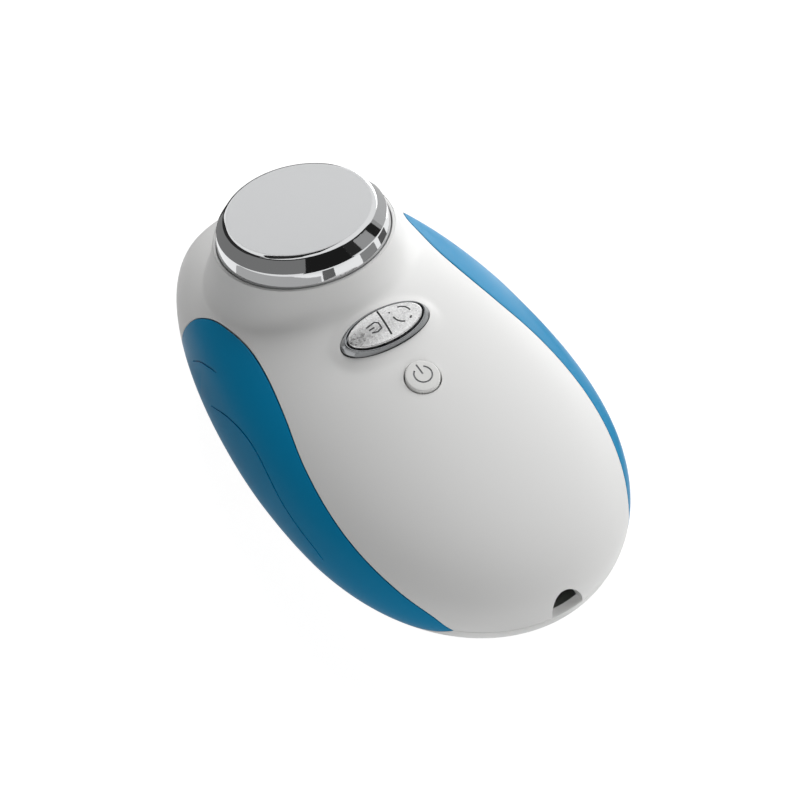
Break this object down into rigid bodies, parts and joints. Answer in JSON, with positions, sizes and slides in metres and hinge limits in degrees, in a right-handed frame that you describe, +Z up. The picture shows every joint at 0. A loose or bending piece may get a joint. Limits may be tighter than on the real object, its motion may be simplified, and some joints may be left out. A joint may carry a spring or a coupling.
{
  "type": "facial toning device",
  "caption": "Egg-shaped hand-held facial toning device with a tilted round metal head, a rocker key, a power key and soft side grips.",
  "frame": {"origin": "middle of the length and width, on the flat of the belly that the device rests on", "axes": "+X to the tail with the charging inlet, +Y to the device's right side, +Z up through the crown with the keys"},
  "size_m": [0.14, 0.0824, 0.0543],
  "materials": {
    "shell": "satin white",
    "grip": "matt",
    "head": "polished",
    "seal": "matt",
    "inner_plastic": "matt",
    "screw": "plain",
    "disc": "plain",
    "bezel": "polished",
    "key_silver": "satin",
    "pin": "ground",
    "key_white": "satin",
    "switch": "matt",
    "board": "matt",
    "core": "matt",
    "sleeve": "gloss",
    "cell": "satin",
    "lead": "matt",
    "contact": "plated"
  },
  "bodies": {
    "housing": {"top_housing": "shell", "bottom_housing": "shell", "left_grip": "grip", "right_grip": "grip", "treatment_head": "head", "head_gasket": "seal", "head_clamp_ring": "inner_plastic", "head_screws": "screw", "ultrasonic_disc": "disc", "disc_retainer": "inner_plastic", "rocker_bezel": "bezel", "rocker_pivot_pin": "pin", "left_mode_switch": "switch", "right_mode_switch": "switch", "power_switch": "switch", "key_board": "board", "key_board_screws": "screw", "board_link": "switch", "main_board": "board", "board_screws": "screw", "control_chips": "switch", "drive_transformer": "core", "capacitors": "sleeve", "battery": "cell", "battery_pad": "seal", "battery_plug": "inner_plastic", "battery_leads": "lead", "head_plug": "inner_plastic", "head_leads": "lead", "inlet_socket": "switch", "inlet_pin": "contact", "housing_screws": "screw"},
    "rocker": {"rocker_key": "key_silver"},
    "power_button": {"power_key": "key_white", "power_switch_plunger": "inner_plastic"},
    "left_plunger": {"left_switch_plunger": "inner_plastic"},
    "right_plunger": {"right_switch_plunger": "inner_plastic"}
  },
  "joints": [
    {"name": "rocker_tilt", "type": "hinge", "parent": "housing", "child": "rocker", "pos_m": [-0.0036, 0, 0.042], "axis": [1, 0, 0], "range_deg": [-3, 3], "stiffness_Nm_per_rad": 0.5},
    {"name": "power_press", "type": "slide", "parent": "housing", "child": "power_button", "axis": [0, 0, -1], "range_m": [0, 0.0007], "stiffness_N_per_m": 900},
    {"name": "left_plunger_press", "type": "slide", "parent": "housing", "child": "left_plunger", "axis": [0, 0, -1], "range_m": [0, 0.00035], "stiffness_N_per_m": 800},
    {"name": "right_plunger_press", "type": "slide", "parent": "housing", "child": "right_plunger", "axis": [0, 0, -1], "range_m": [0, 0.00035], "stiffness_N_per_m": 800}
  ]
}
